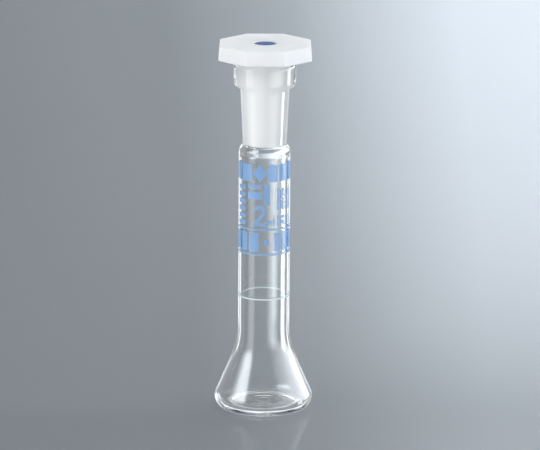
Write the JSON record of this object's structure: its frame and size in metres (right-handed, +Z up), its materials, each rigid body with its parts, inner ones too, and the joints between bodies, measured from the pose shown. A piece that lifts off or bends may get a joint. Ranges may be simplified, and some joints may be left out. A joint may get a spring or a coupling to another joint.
{
  "type": "volumetric flask",
  "caption": "Small clear glass volumetric flask with a conical body, straight neck with ring mark and blue enamel print, ground socket, and octagonal plastic stopper.",
  "frame": {"origin": "on the flask's axis, at the surface that the foot ring stands on", "axes": "+Z up along the axis, -Y towards the printed side, +X to the right of the print"},
  "size_m": [0.0184, 0.0184, 0.0703],
  "materials": {
    "clear_glass": "clear, fire-polished, socket ground inside",
    "enamel_blue": "thin fired enamel print",
    "enamel_pale": "thin fired enamel ring",
    "milky_polyethylene": "milky, waxy, slightly translucent",
    "blue_plastic": "satin"
  },
  "bodies": {
    "flask": {"flask_glass": "clear_glass", "graduation_ring": "enamel_pale", "header_blocks": "enamel_blue", "fine_bars": "enamel_blue", "class_blocks": "enamel_blue", "capacity_numeral": "enamel_blue", "unit_mark": "enamel_blue", "side_column": "enamel_blue", "data_column": "enamel_blue", "rule_upper": "enamel_blue", "code_blocks": "enamel_blue", "rule_lower": "enamel_blue"},
    "stopper": {"stopper": "milky_polyethylene", "stopper_disc": "blue_plastic"}
  },
  "joints": [
    {"name": "stopper_lift", "type": "slide", "parent": "flask", "child": "stopper", "axis": [0, 0, 1], "range_m": [0, 0.025]}
  ]
}
